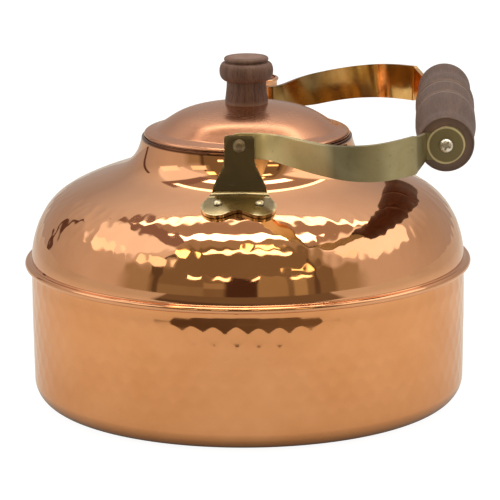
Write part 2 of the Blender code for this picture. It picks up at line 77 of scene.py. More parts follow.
# Dome, and the seam that folds its edge round the pan's flange
SEAM_RADIUS = DOME_BOX[1].x
SEAM_BEND = 1.5 * MM
SEAM_TOP = DOME_BOX[0].z + 2 * SEAM_BEND
SEAM_HEM_RADIUS = SEAM_RADIUS - 2.3 * MM
PAN_TOP = SEAM_TOP - 1.9 * MM
LIP_TOP = DOME_BOX[1].z
LIP_BEND = 0.9 * MM
LIP_INNER_RADIUS = 43.9 * MM
LIP_STEPS = 6
NECK_SPAN = ((46.1, 116.7), (49.6, 100.3), (60.3, 104.2), (79.5, 93.4))
SHOULDER_SPAN = ((79.5, 93.4), (93.5, 85.6), (95.2, 68.1), (95.2, 63.5))

# Lid and knob, as (radius, height)
CROWN_SPAN = ((9.5, 131.4), (29.1, 129.1), (29.9, 127.5), (39.7, 120.9))
BRIM_POINT = (41.9 * MM, 120.3 * MM)
LID_RADIUS = LID_BOX[1].x
LID_EDGE = 118.4 * MM
BRIM_BEND = 1.4 * MM
SCREW_HOLE = 2.3 * MM
KNOB_BASE = KNOB_BOX[0].z
KNOB_TOP = KNOB_BOX[1].z
KNOB_SEAT = 0.28 * MM
KNOB_BULB = ((10.4, 149.4), (11.9, 148.6), (12.2, 144.6), (11.0, 142.9))
KNOB_UNDERCUT = ((11.0, 142.9), (10.6, 142.2), (9.8, 141.7), (9.0, 141.5))
KNOB_STEM = ((8.6, 140.6), (8.7, 137.5), (9.1, 135.5), (9.4, 132.6))
KNOB_BORE = 2.0 * MM
COLLAR_RADIUS = COLLAR_BOX[1].x
COLLAR_TOP = 118.1 * MM
COLLAR_BOTTOM = COLLAR_BOX[0].z
COLLAR_BEND = 0.8 * MM
COLLAR_SHEET = 0.6 * MM

# Grip: its outline as (radius, distance from its middle), and the grooves cut round it
GRIP_REACH = (GRIP_BOX[0].x + GRIP_BOX[1].x) / 2
GRIP_HEIGHT = (GRIP_BOX[0].z + GRIP_BOX[1].z) / 2
GRIP_RISE = GRIP_HEIGHT - PIVOT_HEIGHT
GRIP_HALF = GRIP_BOX[1].y
GRIP_BORE = 2.6 * MM
GRIP_EDGE = 1.0 * MM
GRIP_FACE = 10.7 * MM
GRIP_SWELL = 12.95 * MM
GRIP_END_SPAN = ((11.75, 64.8), (12.0, 58.0), (11.3, 54.0), (11.4, 49.5))
GRIP_SWELL_SPAN = ((11.4, 49.5), (11.5, 41.0), (12.9, 34.0), (12.95, 25.0))
GRIP_GROOVES = (-11.0 * MM, 16.5 * MM)
GROOVE_MARGIN = 2.6 * MM
GROOVE_SHAPE = (
    (12.9, 2.2), (12.5, 1.4), (11.8, 0.9), (11.1, 0.4), (11.0, 0.0),
    (11.1, -0.4), (11.8, -0.9), (12.4, -1.4), (12.7, -2.2),
)

# Straps: how far from the kettle's middle they run at the pivots and at the grip's ends
STRAP_MID = 56.1 * MM
STRAP_END = GRIP_HALF + GAP + STRAP_SHEET / 2
STRAP_NARROW = 5.45 * MM
STRAP_BROAD = 8.0 * MM
STRAP_NECK_HALF = 5.6 * MM
STRAP_DISC_RADIUS = 7.9 * MM
STRAP_LEAN = math.radians(17)
STRAP_SAG = 0.35 * MM
STRAP_DROP = 0.7 * MM
STRAP_CORNER = 73.4 * MM

# Ears: half-widths and heights of the upright, and the two-lobed foot
EAR_FACE = 59.8 * MM
EAR_TOP = EAR_BOX[1].z
EAR_HALF = 6.35 * MM
EAR_BEND = 103.6 * MM
EAR_BEND_HALF = 11.6 * MM
EAR_FLARE_START = 118.5 * MM
EAR_ROUNDING = 1.6 * MM
EAR_CORNER = 1.2 * MM
LOBE_RADIUS = 7.1 * MM
LOBE_SPREAD = 8.7 * MM
LOBE_REACH = 8.0 * MM
LOBE_DROP = 1.8 * MM

# Spout: its middle line as (y, z), and the direction in which the dome is pierced for it
SPOUT_PATH = ((78.0, 76.0), (94.0, 90.0), (109.0, 98.0), (112.0, 121.8))
SPOUT_HOLE = 12.0 * MM
SPOUT_WAY = (0.0, 1.0, 0.9)
SPOUT_MOUTH_HALF = 8.4 * MM
SPOUT_ROOT_SWELL = 10.6 * MM
SPOUT_LIP_SWELL = 0.7 * MM
SPOUT_LIP_HEIGHT = 1.5 * MM

# Hammer marks: the blows' spacing, and how strongly each dish curves (depth = curve * away**2)
PAN_BLOW_PITCH = 9.05 * MM
PAN_ROW_PITCH = 6.1 * MM
PAN_FIRST_ROW = 5.7 * MM
PAN_ROWS = 9
PAN_DISH = 6.7
PAN_MARK_DEPTH = 0.04 * MM
DOME_BLOW_PITCH = 6.0 * MM
DOME_ROW_PITCH = 4.4 * MM
DOME_MARKS_TOP = 95.5 * MM
DOME_MARKS_FOOT = 75.0 * MM
DOME_DISH = 11.0
DOME_MARK_DEPTH = 0.05 * MM

# The pan's wall leans in a little just below its rim: the angle, how far below the rim that
# starts and stops, and the height over which it sets in
PAN_LEAN = math.radians(3.0)
PAN_LEAN_START = 8.8 * MM
PAN_LEAN_STOP = 3.0 * MM
PAN_LEAN_EASE = 3.0 * MM

# Segments round each turned piece
PAN_ROUND = 600
DOME_ROUND = 900
LID_ROUND = 240
GRIP_ROUND = 160
KNOB_ROUND = 128
SPOUT_ROUND = 96


# Outlines, as arrays of (radius, height)


def span(controls, steps):
    """Points along one Bezier curve, from its four (radius, height) controls in millimetres."""
    ends = [Vector((r * MM, z * MM, 0.0)) for r, z in controls]
    return [(p.x, p.y) for p in interpolate_bezier(*ends, steps)]


def arc(centre, radius, start, end, steps):
    angles = [math.radians(start + (end - start) * i / steps) for i in range(steps + 1)]
    return [(centre[0] + radius * math.cos(a), centre[1] + radius * math.sin(a)) for a in angles]


def line(start, end, step):
    """Points evenly spaced along a straight line, leaving out its first."""
    count = max(1, round(math.dist(start, end) / step))
    start, end = np.array(start), np.array(end)
    return [tuple(start + (end - start) * i / count) for i in range(1, count + 1)]


def dome_outline(steps):
    neck = NECK_SPAN[0][0] * MM
    lip = arc((neck - LIP_BEND, LIP_TOP - LIP_BEND), LIP_BEND, 90, 0, LIP_STEPS)
    outline = [(LIP_INNER_RADIUS, LIP_TOP)] + lip
    return outline + span(NECK_SPAN, steps) + span(SHOULDER_SPAN, steps)[1:]


PAST_LIP = LIP_STEPS + 2
DOME_CURVE = np.array(dome_outline(60))[PAST_LIP:]


def dome_height(radius):
    return np.interp(radius, DOME_CURVE[:, 0], DOME_CURVE[:, 1])


def dome_slope(radius):
    step = 0.5 * MM
    return math.atan2(dome_height(radius - step) - dome_height(radius + step), 2 * step)


def smoothstep(value, low, high):
    t = np.clip((value - low) / (high - low), 0.0, 1.0)
    return t * t * (3.0 - 2.0 * t)


# Turned shapes


def normals_of(outline):
    """Unit normals of an outline that runs down its outer side, pointing outwards."""
    tangent = np.gradient(outline, axis=0)
    normal = np.stack([-tangent[:, 1], tangent[:, 0]], axis=1)
    return normal / np.linalg.norm(normal, axis=1)[:, None]


def run_of(outline):
    steps = np.hypot(*np.diff(outline, axis=0).T)
    return np.concatenate([[0.0], np.cumsum(steps)])


def grid_mesh(name, points, closed_rows=False, drop=None):
    """Quads over a (rows, columns, 3) grid that wraps round; drop(centres) picks holes."""
    rows, columns = points.shape[:2]
    row = np.arange(rows if closed_rows else rows - 1)
    column = np.arange(columns)
    a, b = np.meshgrid(row, column, indexing="ij")
    below = (a + 1) % rows
    beside = (b + 1) % columns
    faces = np.stack(
        [a * columns + b, below * columns + b, below * columns + beside, a * columns + beside],
        axis=-1,
    ).reshape(-1, 4)
    if drop is not None:
        centre = points.reshape(-1, 3)[faces].mean(axis=1)
        faces = faces[~drop(centre)]
    mesh = bpy.data.meshes.new(name)
    mesh.vertices.add(rows * columns)
    mesh.vertices.foreach_set("co", points.reshape(-1).astype(np.float32))
    mesh.loops.add(len(faces) * 4)
    mesh.loops.foreach_set("vertex_index", faces.reshape(-1).astype(np.int32))
    mesh.polygons.add(len(faces))
    mesh.polygons.foreach_set("loop_start", np.arange(0, len(faces) * 4, 4, dtype=np.int32))
    mesh.polygons.foreach_set("loop_total", np.full(len(faces), 4, dtype=np.int32))
    mesh.update(calc_edges=True)
    mesh.validate()
    mesh.shade_smooth()
    return mesh


def revolve(outline, segments, offset=None):
    """Points of an outline turned about Z, pushed along its normals by offset(rows, columns)."""
    angles = 2 * np.pi * np.arange(segments) / segments
    outline = np.array(outline)
    r = np.repeat(outline[:, :1], segments, axis=1)
    z = np.repeat(outline[:, 1:], segments, axis=1)
    if offset is not None:
        normal = normals_of(outline)
        r = r + normal[:, :1] * offset
        z = z + normal[:, 1:] * offset
    return np.stack([r * np.cos(angles), r * np.sin(angles), z], axis=-1)


def shell(name, outline, thickness, segments, relief=None, drop=None):
    """A sheet-metal piece: its outer side with relief, and a plain inner side."""
    outline = np.array(outline)
    inner = outline - normals_of(outline) * thickness
    inner[:, 0] = np.maximum(inner[:, 0], 0.0)
    rows = max(24, len(inner) // 4)
    keep = np.unique(np.round(np.linspace(0, len(inner) - 1, rows)).astype(int))
    inner = inner[keep][::-1]
    offset = relief(outline, segments) if relief else None
    outside = revolve(outline, segments, offset)
    inside = revolve(inner, segments)
    closed = outline[-1, 0] > 1e-5
    points = np.concatenate([outside, inside])
    return grid_mesh(name, points, closed_rows=closed, drop=drop)


# Hammer marks


def dishes(outline, segments, centres, radius, curve):
    """Height of the surface between blows (angle, run, lift): highest where two dishes meet."""
    run = run_of(outline)
    angles = 2 * np.pi * np.arange(segments) / segments
    result = np.empty((len(run), segments))
    near = radius * 1.9
    for i, here in enumerate(run):
        close = centres[np.abs(centres[:, 1] - here) < near]
        if not len(close):
            result[i] = curve * radius**2
            continue
        turn = (angles[None, :] - close[:, :1] + np.pi) % (2 * np.pi) - np.pi
        away = turn * outline[i, 0]
        squared = away**2 + (here - close[:, 1:2]) ** 2
        result[i] = (curve * squared + close[:, 2:3]).min(axis=0)
    return np.minimum(result, curve * radius**2 * 1.6)


def soften(field, round_passes, down_passes):
    """Rounds the crests between dishes by averaging with the neighbours."""
    for _ in range(round_passes):
        field = 0.5 * field + 0.25 * (np.roll(field, 1, axis=1) + np.roll(field, -1, axis=1))
    for _ in range(down_passes):
        field[1:-1] = 0.5 * field[1:-1] + 0.25 * (field[:-2] + field[2:])
    return field


def blow_centres(rows, first, row_pitch, blow_pitch, radius_at, jitter, lift, seed):
    """Blows in rings round the body, each ring turned by half a pitch from the last."""
    rng = np.random.default_rng(seed)
    centres = []
    for row in range(rows):
        run = first + row * row_pitch
        count = round(2 * math.pi * radius_at(run) / blow_pitch)
        shift = 0.5 * (row % 2) + rng.uniform(-0.1, 0.1) * jitter
        for i in range(count):
            angle = 2 * math.pi * (i + shift + jitter * rng.uniform(-0.5, 0.5)) / count
            along = run + jitter * row_pitch * rng.uniform(-0.5, 0.5)
            centres.append((angle, along, lift * rng.uniform(-1, 1)))
    return np.array(centres)


def pan_lean(height):
    """How far in the wall leans at a height: it sets in gently and stops at a crisp edge."""
    rise = np.clip(height - (PAN_TOP - PAN_LEAN_START), 0.0, PAN_LEAN_START - PAN_LEAN_STOP)
    gentle = np.minimum(rise, PAN_LEAN_EASE)
    return -math.tan(PAN_LEAN) * (gentle**2 / (2 * PAN_LEAN_EASE) + rise - gentle)


def pan_relief(outline, segments):
    """Hammer marks down the drum's wall, which leans in a little below the rim."""
    run = run_of(outline)
    start = float(run[np.argmax(outline[:, 1] < PAN_TOP - 0.2 * MM)])
    centres = blow_centres(
        PAN_ROWS, start + PAN_FIRST_ROW, PAN_ROW_PITCH, PAN_BLOW_PITCH,
        radius_at=lambda _: PAN_RADIUS, jitter=0.13, lift=0.004 * MM, seed=3,
    )
    marks = dishes(outline, segments, centres, PAN_BLOW_PITCH / 2, PAN_DISH)
    height = outline[:, 1]
    share = smoothstep(height, PAN_CORNER * 0.6, PAN_CORNER * 1.6)
    share = share * (1 - smoothstep(height, PAN_TOP - 1.2 * MM, PAN_TOP - 0.4 * MM))
    lean = pan_lean(height) * (1 - smoothstep(outline[:, 0], PAN_RADIUS, PAN_RADIUS + 0.4 * MM))
    return (soften(marks, 0, 1) - PAN_MARK_DEPTH) * share[:, None] + lean[:, None]


def dome_relief(outline, segments):
    """Uneven hammer marks in a belt round the shoulder; the rest of the dome is smooth."""
    run = run_of(outline)
    drop = -outline[PAST_LIP:, 1]
    start = float(np.interp(-DOME_MARKS_TOP, drop, run[PAST_LIP:]))
    stop = float(np.interp(-DOME_MARKS_FOOT, drop, run[PAST_LIP:]))
    rows = int((stop - start) / DOME_ROW_PITCH) + 2
    centres = blow_centres(
        rows, start, DOME_ROW_PITCH, DOME_BLOW_PITCH,
        radius_at=lambda s: float(np.interp(s, run, outline[:, 0])),
        jitter=0.8, lift=0.02 * MM, seed=11,
    )
    marks = dishes(outline, segments, centres, DOME_BLOW_PITCH / 2, DOME_DISH)
    share = smoothstep(run, start - 2 * MM, start + 3 * MM)
    share = share * (1 - smoothstep(run, stop - 4 * MM, stop + 3 * MM))
    share[:PAST_LIP] = 0.0
    return (soften(marks, 2, 3) - DOME_MARK_DEPTH) * share[:, None]


# Node helpers


class Graph:
    """Short names for building a node tree."""

    def __init__(self, tree):
        self.tree = tree
        tree.nodes.clear()

    def node(self, kind, inputs=None, **settings):
        made = self.tree.nodes.new("ShaderNode" + kind)
        for key, value in settings.items():
            setattr(made, key, value)
        for key, value in (inputs or {}).items():
            self.put(made.inputs[key], value)
        return made

    def put(self, socket, value):
        if isinstance(value, bpy.types.NodeSocket):
            self.tree.links.new(value, socket)
        else:
            socket.default_value = value

    def math(self, operation, *values, clamp=False):
        made = self.node("Math", operation=operation, use_clamp=clamp)
        for socket, value in zip(made.inputs, values):
            self.put(socket, value)
        return made.outputs[0]

    def mix(self, share, low, high, blend="MIX"):
        made = self.node("Mix", data_type="RGBA", blend_type=blend)
        self.put(made.inputs[0], share)
        self.put(made.inputs[6], low)
        self.put(made.inputs[7], high)
        return made.outputs[2]

    def noise(self, place, scale, detail=2.0, roughness=0.5, distortion=0.0):
        made = self.node("TexNoise", {"Vector": place, "Scale": scale, "Detail": detail})
        made.inputs["Roughness"].default_value = roughness
        made.inputs["Distortion"].default_value = distortion
        return made.outputs["Fac"]

    def ramp(self, value, low, high, bottom=0.0, top=1.0):
        made = self.node("MapRange", {"Value": value, "From Min": low, "From Max": high})
        made.inputs["To Min"].default_value = bottom
        made.inputs["To Max"].default_value = top
        return made.outputs[0]

    def stretch(self, place, scale):
        return self.node("Mapping", {"Vector": place, "Scale": scale}).outputs[0]

    def place(self):
        return self.node("TexCoord").outputs["Object"]

    def parts(self, vector):
        return self.node("SeparateXYZ", {"Vector": vector}).outputs

    def glow(self, color, strength):
        return self.node("Emission", {"Color": color, "Strength": strength}).outputs[0]

    def blend(self, share, first, second):
        return self.node("MixShader", {0: share, 1: first, 2: second}).outputs[0]

    def distance(self, x, y):
        squares = self.math("ADD", self.math("MULTIPLY", x, x), self.math("MULTIPLY", y, y))
        return self.math("SQRT", squares)

    def bump(self, height, distance, strength=1.0, normal=None):
        made = self.node("Bump", {"Height": height, "Distance": distance, "Strength": strength})
        if normal is not None:
            self.put(made.inputs["Normal"], normal)
        return made.outputs[0]

    def finish(self, color, roughness, metallic, normal=None, **extra):
        shader = self.node("BsdfPrincipled")
        self.put(shader.inputs["Base Color"], color)
        self.put(shader.inputs["Roughness"], roughness)
        shader.inputs["Metallic"].default_value = metallic
        if normal is not None:
            self.put(shader.inputs["Normal"], normal)
        for key, value in extra.items():
            self.put(shader.inputs[key.replace("_", " ")], value)
        self.node("OutputMaterial", {"Surface": shader.outputs[0]})


def new_material(name):
    material = bpy.data.materials.new(name)
    material.use_nodes = True
    return material, Graph(material.node_tree)


# Materials


# Painted shadow under the lid's brim, laid on the dome's lip
BRIM_SHADOW = (0.06, 0.015, 0.006, 1)
# Painted highlight colour for convex brass edges
EDGE_HIGHLIGHT_BRASS = (0.95, 0.84, 0.52, 1)
DARK_WOOD = (0.060, 0.026, 0.018, 1)
RED_WOOD = (0.165, 0.088, 0.066, 1)
PALE_GRAIN = (0.22, 0.125, 0.095, 1)
PORE = (0.02, 0.008, 0.006, 1)
# Painted sheen: a greyish tone standing for the varnish's gloss
GREY_SHEEN = (0.056, 0.043, 0.041, 1)
# Colour of the end faces: darker end grain, with painted shade
END_GRAIN_AND_SHADE = (0.030, 0.011, 0.008, 1)
# Painted highlight colour for convex wood edges
EDGE_HIGHLIGHT_WOOD = (0.30, 0.20, 0.16, 1)
# Painted highlight colour for the rings round the grip's shoulders
SHOULDER_SHEEN = (0.25, 0.21, 0.19, 1)
BAND_LENGTH = 100 * MM


def copper(name, bright, dull, roughness, wobble, shadow_above=None):
    """Polished lacquered copper: cloudy tone, fine scratches and a slow waviness.

    Above a given height it is painted dark: a painted shadow under the lid's brim."""
    material, g = new_material(name)
    place = g.place()
    cloud = g.noise(place, 38.0, 4.0, 0.6)
    speck = g.noise(place, 900.0, 3.0, 0.7)
    tone = g.mix(g.ramp(cloud, 0.3, 0.7), (*dull, 1), (*bright, 1))
    tone = g.mix(g.ramp(speck, 0.66, 0.8, 0.0, 0.35), tone, (*[c * 0.55 for c in dull], 1))
    # Painted shadow: dark above the given height, under the lid's brim
    if shadow_above:
        height = g.parts(place)["Z"]
        shadow_share = g.ramp(height, shadow_above, shadow_above + 0.5 * MM, 0.0, 0.9)
        tone = g.mix(shadow_share, tone, BRIM_SHADOW)
    scratch = g.noise(g.stretch(place, (60.0, 60.0, 2600.0)), 1.0, 2.0, 0.6)
    rough = g.ramp(cloud, 0.3, 0.75, roughness, roughness * 1.6)
    rough = g.math("ADD", rough, g.ramp(scratch, 0.55, 0.8, 0.0, 0.05))
    wave = g.bump(g.noise(place, 55.0, 1.0, 0.4), wobble)
    grain = g.bump(scratch, 0.000004, 0.5, wave)
    g.finish(tone, rough, 1.0, grain)
    return material


def edge_highlight(g):
    """1 on convex edges, where a highlight is painted; it also stands for rubbing from handling.
    """
    return g.ramp(g.node("NewGeometry").outputs["Pointiness"], 0.507, 0.555)


def disc_rim_highlight(g, place):
    """1 in the ring round the strap's round end, over the grip's face, where a highlight is
    painted.
    """
    x, _, z = g.parts(place)
    away = g.distance(g.math("SUBTRACT", x, GRIP_REACH), g.math("SUBTRACT", z, GRIP_HEIGHT))
    inner = STRAP_DISC_RADIUS - 1.0 * MM
    outer = STRAP_DISC_RADIUS + 0.1 * MM
    outside = g.ramp(away, inner, inner + 0.4 * MM)
    inside = g.ramp(away, outer, outer - 0.2 * MM)
    return g.math("MULTIPLY", outside, inside)


def brass(name, bright, dull, roughness, shade_bands=(), highlight_share=0.8):
    """Brass sheet, cloudy and tarnished in spots, with drawn scratches.

    shade_bands are (reach from the pivots in mm, shade) and paint shade along a strap's length.
    highlight_share is how strongly a highlight is painted on its convex edges, or on a banded
    strap's round end."""
    material, g = new_material(name)
    place = g.place()
    cloud = g.noise(place, 70.0, 5.0, 0.6, 0.6)
    spots = g.noise(place, 420.0, 3.0, 0.6)
    tone = g.mix(g.ramp(cloud, 0.35, 0.68), (*dull, 1), (*bright, 1))
    tone = g.mix(g.ramp(spots, 0.62, 0.78, 0.0, 0.45), tone, (*[c * 0.45 for c in dull], 1))
    # Painted shade along the strap's length, by reach
    if shade_bands:
        reach = g.math("DIVIDE", g.parts(place)["X"], BAND_LENGTH)
        painted_shade = g.node("ValToRGB", {"Fac": reach})
        stops = painted_shade.color_ramp.elements
        while len(stops) < len(shade_bands):
            stops.new(0.5)
        for stop, (at, shade) in zip(stops, shade_bands):
            stop.position = at * MM / BAND_LENGTH
            stop.color = (shade, shade, shade, 1)
        tone = g.mix(1.0, tone, painted_shade.outputs[0], "MULTIPLY")
    scratch = g.noise(g.stretch(place, (140.0, 140.0, 2200.0)), 1.0, 3.0, 0.7)
    rough = g.ramp(cloud, 0.3, 0.7, roughness * 1.35, roughness * 0.8)
    rough = g.math("ADD", rough, g.ramp(scratch, 0.5, 0.8, 0.0, 0.10))
    # Painted highlight on convex edges, or round a banded strap's round end
    painted_highlight = disc_rim_highlight(g, place) if shade_bands else edge_highlight(g)
    tone = g.mix(g.math("MULTIPLY", painted_highlight, highlight_share), tone, EDGE_HIGHLIGHT_BRASS)
    normal = g.bump(scratch, 0.00001, 0.6, g.bump(g.noise(place, 120.0), 0.00005))
    g.finish(tone, rough, 1.0, normal)
    return material


def steel(name):
    """Plated steel, cloudy and a little rough."""
    material, g = new_material(name)
    place = g.place()
    cloud = g.noise(place, 500.0, 4.0, 0.6)
    tone = g.mix(cloud, (0.55, 0.51, 0.43, 1), (0.88, 0.84, 0.76, 1))
    rough = g.ramp(cloud, 0.3, 0.7, 0.42, 0.28)
    g.finish(tone, rough, 1.0, g.bump(g.noise(place, 1500.0, 3.0), 0.00002))
    return material


def wood(name, axis, end_share, painted_sheen=0.0, shoulders=()):
    """Stained hardwood with grain along one axis, dark pores and a thin varnish.

    The end faces are darker, as end grain and painted shade; painted_sheen paints a greyish sheen
    over the whole; pale rings of painted highlight run round the shoulders, lengths along the
    axis."""
    material, g = new_material(name)
    place = g.place()
    grain = [0.07 if a == axis else 1.0 for a in "XYZ"]
    grain_place = g.stretch(place, grain)
    rings = g.noise(grain_place, 210.0, 5.0, 0.62, 1.2)
    fine = g.noise(grain_place, 1300.0, 4.0, 0.7)
    long_pores = [0.05 if a == axis else 0.9 for a in "XYZ"]
    pores = g.noise(g.stretch(place, long_pores), 2600.0, 2.0, 0.6)
    tone = g.mix(g.ramp(rings, 0.3, 0.7), DARK_WOOD, RED_WOOD)
    tone = g.mix(g.ramp(fine, 0.35, 0.75, 0.0, 0.55), tone, PALE_GRAIN)
    tone = g.mix(g.ramp(pores, 0.6, 0.68, 0.0, 0.75), tone, PORE)
    # Painted sheen: greyish tone mixed over the whole
    tone = g.mix(painted_sheen, tone, GREY_SHEEN)
    # Darker end faces: end grain, and painted shade on the faces along the axis
    facing = g.parts(g.node("TexCoord").outputs["Normal"])[axis]
    end_grain_and_shade = g.ramp(g.math("ABSOLUTE", facing), 0.75, 0.95)
    tone = g.mix(g.math("MULTIPLY", end_grain_and_shade, end_share), tone, END_GRAIN_AND_SHADE)
    # Painted highlight on convex edges
    tone = g.mix(g.math("MULTIPLY", edge_highlight(g), 0.5), tone, EDGE_HIGHLIGHT_WOOD)
    # Painted highlight: pale rings round the shoulders, the sheen of their rounding
    for at in shoulders:
        away = g.math("SUBTRACT", g.parts(place)[axis], at)
        painted_highlight = g.ramp(g.math("ABSOLUTE", away), 2.4 * MM, 0.6 * MM, 0.0, 0.65)
        tone = g.mix(painted_highlight, tone, SHOULDER_SHEEN)
    rough = g.ramp(fine, 0.3, 0.7, 0.42, 0.62)
    normal = g.bump(pores, 0.00012, -0.6, g.bump(rings, 0.00022, 0.5))
    g.finish(tone, rough, 0.0, normal, Specular_IOR_Level=0.36)
    return material


# Painted shade along each strap, as (reach in mm, shade)
FRONT_SHADE_BANDS = (
    (0, 0.8), (14, 1.0), (22, 0.9), (36, 0.5), (41, 0.2), (47, 0.22),
    (56, 0.42), (70, 0.46), (80, 0.32),
)
REAR_SHADE_BANDS = (
    (0, 0.3), (18, 0.4), (27, 0.22), (38, 0.65), (50, 0.95), (59, 1.0), (64, 0.95), (74, 1.0),
)
RED_COPPER = (0.76, 0.395, 0.21), (0.70, 0.345, 0.175)
# The dome is painted dark above this height, as shadow under the lid's brim
SHADED_LIP = 116.3 * MM
# Where pale rings of painted highlight run round the grip's shoulders
SHEEN_RINGS = [along - 2.8 * MM for along in GRIP_GROOVES]

PAN_COPPER = copper("pan_copper", (0.75, 0.36, 0.165), (0.68, 0.305, 0.125), 0.05, 0.00005)
DOME_COPPER = copper("dome_copper", *RED_COPPER, 0.04, 0.00003, SHADED_LIP)
SPOUT_COPPER = copper("spout_copper", *RED_COPPER, 0.05, 0.00003)
LID_COPPER = copper("lid_copper", (0.66, 0.335, 0.20), (0.59, 0.285, 0.165), 0.19, 0.00004)
STRAP_BRASS = brass("strap_brass", (0.93, 0.81, 0.46), (0.84, 0.72, 0.39), 0.40, FRONT_SHADE_BANDS)
# The rear strap: the same brass tinted amber, a painted reflection
REAR_REFLECTION_BRASS = brass("rear_reflection_brass", (1.0, 0.66, 0.26), (0.80, 0.42, 0.11), 0.14, REAR_SHADE_BANDS)
EAR_BRASS = brass("ear_brass", (0.28, 0.22, 0.115), (0.195, 0.155, 0.085), 0.16)
PIVOT_BRASS = brass("pivot_brass", (0.20, 0.13, 0.08), (0.12, 0.075, 0.05), 0.36, highlight_share=0.15)
NICKEL = brass("dull_nickel", (0.74, 0.68, 0.52), (0.50, 0.44, 0.32), 0.26, highlight_share=0.3)
STEEL = steel("plated_steel")
KNOB_WOOD = wood("knob_wood", "Z", 0.0)
GRIP_WOOD = wood("grip_wood", "Y", 0.85, 0.4, SHEEN_RINGS)


def add_piece(name, mesh, material, body, slot, *nodes):
    obj = bpy.data.objects.new(name, mesh)
    bpy.context.scene.collection.objects.link(obj)
    mesh.materials.append(material)
    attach(obj, body)
    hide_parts(*nodes)
    return obj


# Body


def build_pan():
    corner = (PAN_FOOT_RADIUS - PAN_CORNER, PAN_CORNER)
    bend = 0.5 * MM
    outline = line((PAN_FLANGE_RADIUS + 0.1 * MM, PAN_TOP), (PAN_RADIUS + bend, PAN_TOP), 0.4 * MM)
    outline += arc((PAN_RADIUS + bend, PAN_TOP - bend), bend, 90, 180, 5)[1:]
    outline += line((PAN_RADIUS, PAN_TOP - bend), (PAN_RADIUS, PAN_TAPER_TOP), 0.45 * MM)
    outline += line((PAN_RADIUS, PAN_TAPER_TOP), (PAN_FOOT_RADIUS, PAN_CORNER), 0.45 * MM)
    outline += arc(corner, PAN_CORNER, 0, -90, 30)[1:]
    outline += line((corner[0], 0.0), (0.0, 0.0), 4.0 * MM)
    mesh = shell("pan", outline, COPPER, PAN_ROUND, pan_relief)
    add_piece("pan", mesh, PAN_COPPER, "kettle", "copper", "body_pan")


def build_dome():
    fold = (SEAM_RADIUS - SEAM_BEND, SEAM_TOP - SEAM_BEND)
    outline = dome_outline(70) + arc(fold, SEAM_BEND, 90, -90, 16)
    outline.append((SEAM_HEM_RADIUS, SEAM_TOP - 2 * SEAM_BEND))
    root = np.array([0.0, SPOUT_PATH[0][0] * MM, SPOUT_PATH[0][1] * MM])
    way = np.array(SPOUT_WAY) / np.linalg.norm(SPOUT_WAY)

    def in_spout(centre):
        offset = centre - root
        along = offset @ way
        return np.linalg.norm(offset - along[:, None] * way, axis=1) < SPOUT_HOLE

    mesh = shell("dome", outline, COPPER, DOME_ROUND, dome_relief, in_spout)
    add_piece("dome", mesh, DOME_COPPER, "kettle", "copper", "body_dome")


# Spout


def spout_ring(t):
    """Middle, lean, half-width and half-depth of the tube at a share of its length."""
    a, b, c, d = [Vector((0.0, y * MM, z * MM)) for y, z in SPOUT_PATH]
    centre = (1 - t) ** 3 * a + 3 * t * (1 - t) ** 2 * b + 3 * t * t * (1 - t) * c + t**3 * d
    lean = math.radians(42 + 48 * float(smoothstep(t, 0.2, 1.0)))
    half = SPOUT_MOUTH_HALF + SPOUT_ROOT_SWELL * (1 - t) ** 2.2
    depth = half * (1 + 0.22 * float(smoothstep(t, 0.4, 1.0)))
    return centre, lean, half, depth


def ring_points(centre, lean, half, depth):
    across = Vector((1, 0, 0))
    upright = Vector((0, -math.sin(lean), math.cos(lean)))
    turns = [2 * math.pi * i / SPOUT_ROUND for i in range(SPOUT_ROUND)]
    return [centre + across * half * math.cos(a) + upright * depth * math.sin(a) for a in turns]


def build_spout():
    """A tapering tube that rises out of the dome and ends in a small rolled lip."""
    rings = [ring_points(*spout_ring(i / 60)) for i in range(61)]
    centre, lean, half, depth = spout_ring(1.0)
    for angle in np.linspace(0.2, 3.0, 10):
        swell = SPOUT_LIP_SWELL * math.sin(angle)
        lift = 0.2 * MM + SPOUT_LIP_HEIGHT * (1 - math.cos(angle)) / 2
        rings.append(ring_points(centre + Vector((0, 0, lift)), lean, half + swell, depth + swell))
    outside = np.array([[tuple(p) for p in ring] for ring in rings])
    middle = outside.mean(axis=1, keepdims=True)
    spread = np.linalg.norm(outside - middle, axis=2, keepdims=True)
    inside = middle + (outside - middle) * (1 - SPOUT_WALL / spread)
    points = np.concatenate([outside, inside[::-1]])

    def inside_dome(centre):
        radius = np.hypot(centre[:, 0], centre[:, 1])
        return centre[:, 2] < dome_height(radius) - 1.2 * MM

    mesh = grid_mesh("spout_tube", points, closed_rows=True, drop=inside_dome)
    mesh.flip_normals()
    add_piece("spout_tube", mesh, SPOUT_COPPER, "kettle", "copper", "spout")


# Lid


def build_lid():
    outline = [(SCREW_HOLE, CROWN_SPAN[0][1] * MM)] + span(CROWN_SPAN, 60)
    outline += line(outline[-1], BRIM_POINT, 0.5 * MM)
    outline += arc((LID_RADIUS - BRIM_BEND, LID_EDGE), BRIM_BEND, 80, 0, 10)
    mesh = shell("lid_top", outline, COPPER, LID_ROUND)
    add_piece("lid_top", mesh, LID_COPPER, "lid", "copper", "lid")
    band = [(39.5 * MM, 119.4 * MM), (42.0 * MM, 118.9 * MM)]
    band += arc((COLLAR_RADIUS - COLLAR_BEND, COLLAR_TOP), COLLAR_BEND, 80, 0, 6)
    foot = (COLLAR_RADIUS, COLLAR_BOTTOM + 1.0 * MM)
    band += line((COLLAR_RADIUS, COLLAR_TOP), foot, 0.8 * MM)
    band += [(COLLAR_RADIUS - 0.4 * MM, COLLAR_BOTTOM)]
    mesh = shell("lid_band", band, COLLAR_SHEET, LID_ROUND)
    add_piece("lid_band", mesh, LID_COPPER, "lid", "copper", "lid_collar")


